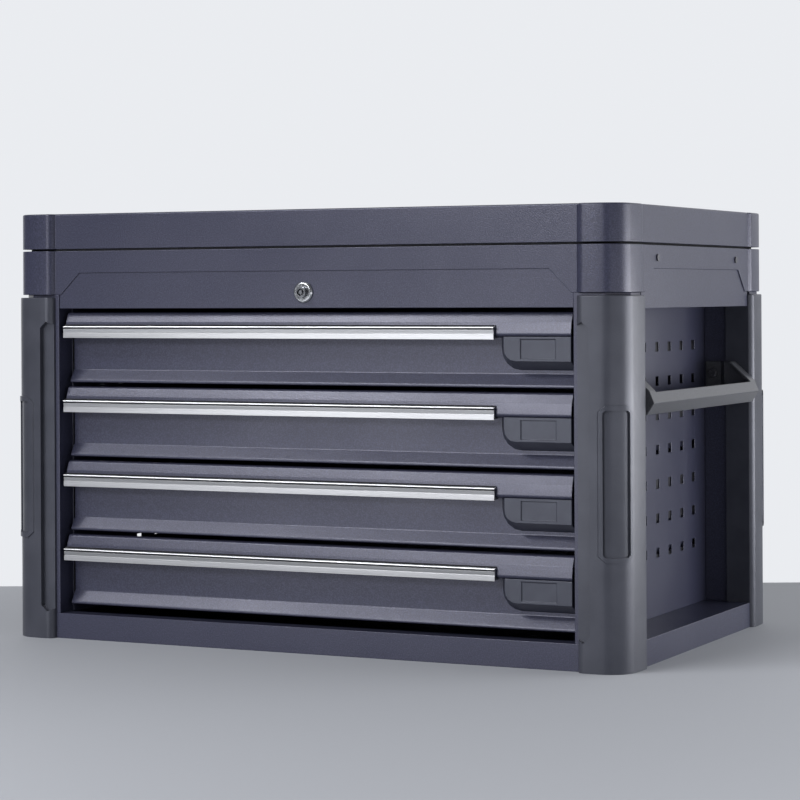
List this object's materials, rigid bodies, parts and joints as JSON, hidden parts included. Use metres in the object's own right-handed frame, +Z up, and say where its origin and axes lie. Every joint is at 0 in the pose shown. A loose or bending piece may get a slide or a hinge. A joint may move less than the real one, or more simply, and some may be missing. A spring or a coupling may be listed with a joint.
{
  "type": "tool box",
  "caption": "Steel top chest with a hinged lid over a shallow tray, a column of pull-out drawers with grip strips, corner bumpers and perforated sides with carrying handles.",
  "frame": {"origin": "on the floor under the middle of the chest", "axes": "+X along the front to the right as seen from the front, +Y to the back, +Z up; the drawers open towards -Y"},
  "size_m": [0.73, 0.4548, 0.4595],
  "materials": {
    "cabinet_paint": "fine-grained anthracite powder coat on steel sheet",
    "bumper_plastic": "matt black moulded plastic",
    "label_plastic": "dark moulded plastic",
    "grip_aluminium": "bright brushed extrusion",
    "slide_steel": "zinc plated rolled steel",
    "handle_paint": "fine-grained powder coat on pressed steel",
    "screw_steel": "blackened steel",
    "lock_chrome": "chromed zinc casting",
    "plated_steel": "zinc plated steel",
    "strut_paint": "black lacquered steel tube",
    "strut_chrome": "hard chromed rod"
  },
  "bodies": {
    "cabinet": {"base_pan": "cabinet_paint", "cabinet_slides_left": "slide_steel", "cabinet_slides_right": "slide_steel", "collar": "cabinet_paint", "collar_screws": "screw_steel", "corner_bumper_front_left": "bumper_plastic", "corner_bumper_front_right": "bumper_plastic", "corner_bumper_rear_left": "bumper_plastic", "corner_bumper_rear_right": "bumper_plastic", "corner_post_front_left": "cabinet_paint", "corner_post_front_right": "cabinet_paint", "corner_post_rear_left": "cabinet_paint", "corner_post_rear_right": "cabinet_paint", "front_header": "cabinet_paint", "handle_screws": "screw_steel", "hinge_leaf_collar": "cabinet_paint", "hinge_pin": "plated_steel", "lock_housing": "lock_chrome", "rear_panel": "cabinet_paint", "side_handle_left": "handle_paint", "side_handle_right": "handle_paint", "side_panel_left": "cabinet_paint", "side_panel_right": "cabinet_paint", "top_tray": "cabinet_paint", "tray_strut_studs": "plated_steel"},
    "lid": {"lid": "cabinet_paint", "hinge_leaf_lid": "cabinet_paint", "lid_catch": "plated_steel", "lid_strut_studs": "plated_steel"},
    "strut_tube_left": {"strut_tube_left": "strut_paint"},
    "strut_rod_left": {"strut_rod_left": "strut_chrome"},
    "strut_tube_right": {"strut_tube_right": "strut_paint"},
    "strut_rod_right": {"strut_rod_right": "strut_chrome"},
    "lock_barrel": {"lock_barrel": "lock_chrome"},
    "lock_bar": {"lock_bar": "plated_steel"},
    "drawer_1": {"drawer_1_box": "cabinet_paint", "drawer_1_front": "cabinet_paint", "drawer_1_grip_strip": "grip_aluminium", "drawer_1_inner_slides": "slide_steel", "drawer_1_label_holder": "label_plastic"},
    "slides_1": {"drawer_1_middle_slides": "slide_steel"},
    "drawer_2": {"drawer_2_box": "cabinet_paint", "drawer_2_front": "cabinet_paint", "drawer_2_grip_strip": "grip_aluminium", "drawer_2_inner_slides": "slide_steel", "drawer_2_label_holder": "label_plastic"},
    "slides_2": {"drawer_2_middle_slides": "slide_steel"},
    "drawer_3": {"drawer_3_box": "cabinet_paint", "drawer_3_front": "cabinet_paint", "drawer_3_grip_strip": "grip_aluminium", "drawer_3_inner_slides": "slide_steel", "drawer_3_label_holder": "label_plastic"},
    "slides_3": {"drawer_3_middle_slides": "slide_steel"},
    "drawer_4": {"drawer_4_box": "cabinet_paint", "drawer_4_front": "cabinet_paint", "drawer_4_grip_strip": "grip_aluminium", "drawer_4_inner_slides": "slide_steel", "drawer_4_label_holder": "label_plastic"},
    "slides_4": {"drawer_4_middle_slides": "slide_steel"}
  },
  "joints": [
    {"name": "lid_hinge", "type": "hinge", "parent": "cabinet", "child": "lid", "pos_m": [0, 0.2238, 0.4204], "axis": [-1, 0, 0], "range_deg": [0, 88]},
    {"name": "strut_left_swing", "type": "hinge", "parent": "cabinet", "child": "strut_tube_left", "pos_m": [-0.322, -0.123, 0.4055], "axis": [1, 0, 0], "range_deg": [0, 11.4]},
    {"name": "strut_left_stroke", "type": "slide", "parent": "strut_tube_left", "child": "strut_rod_left", "axis": [0, 0.9907, 0.136], "range_m": [0, 0.1429]},
    {"name": "strut_right_swing", "type": "hinge", "parent": "cabinet", "child": "strut_tube_right", "pos_m": [0.322, -0.123, 0.4055], "axis": [1, 0, 0], "range_deg": [0, 11.4]},
    {"name": "strut_right_stroke", "type": "slide", "parent": "strut_tube_right", "child": "strut_rod_right", "axis": [0, 0.9907, 0.136], "range_m": [0, 0.1429]},
    {"name": "lock_turn", "type": "hinge", "parent": "cabinet", "child": "lock_barrel", "pos_m": [0, -0.2, 0.3735], "axis": [0, 1, 0], "range_deg": [0, 90]},
    {"name": "lock_lift", "type": "slide", "parent": "cabinet", "child": "lock_bar", "axis": [0, 0, 1], "range_m": [0, 0.0114]},
    {"name": "drawer_1_slide", "type": "slide", "parent": "cabinet", "child": "drawer_1", "axis": [0, -1, 0], "range_m": [0, 0.36]},
    {"name": "slides_1_travel", "type": "slide", "parent": "cabinet", "child": "slides_1", "axis": [0, -1, 0], "range_m": [0, 0.1801]},
    {"name": "drawer_2_slide", "type": "slide", "parent": "cabinet", "child": "drawer_2", "axis": [0, -1, 0], "range_m": [0, 0.36]},
    {"name": "slides_2_travel", "type": "slide", "parent": "cabinet", "child": "slides_2", "axis": [0, -1, 0], "range_m": [0, 0.1801]},
    {"name": "drawer_3_slide", "type": "slide", "parent": "cabinet", "child": "drawer_3", "axis": [0, -1, 0], "range_m": [0, 0.36]},
    {"name": "slides_3_travel", "type": "slide", "parent": "cabinet", "child": "slides_3", "axis": [0, -1, 0], "range_m": [0, 0.1801]},
    {"name": "drawer_4_slide", "type": "slide", "parent": "cabinet", "child": "drawer_4", "axis": [0, -1, 0], "range_m": [0, 0.36]},
    {"name": "slides_4_travel", "type": "slide", "parent": "cabinet", "child": "slides_4", "axis": [0, -1, 0], "range_m": [0, 0.1801]}
  ],
  "couplings": [
    {"joint": "strut_left_swing", "follows": "lid_hinge", "ratio": 0.1292},
    {"joint": "strut_left_stroke", "follows": "lid_hinge", "m_per_rad": 0.09293},
    {"joint": "strut_right_swing", "follows": "lid_hinge", "ratio": 0.1292},
    {"joint": "strut_right_stroke", "follows": "lid_hinge", "m_per_rad": 0.09293},
    {"joint": "lock_lift", "follows": "lock_turn", "m_per_rad": 0.0072025},
    {"joint": "slides_1_travel", "follows": "drawer_1_slide", "ratio": 0.5},
    {"joint": "slides_2_travel", "follows": "drawer_2_slide", "ratio": 0.5},
    {"joint": "slides_3_travel", "follows": "drawer_3_slide", "ratio": 0.5},
    {"joint": "slides_4_travel", "follows": "drawer_4_slide", "ratio": 0.5}
  ]
}
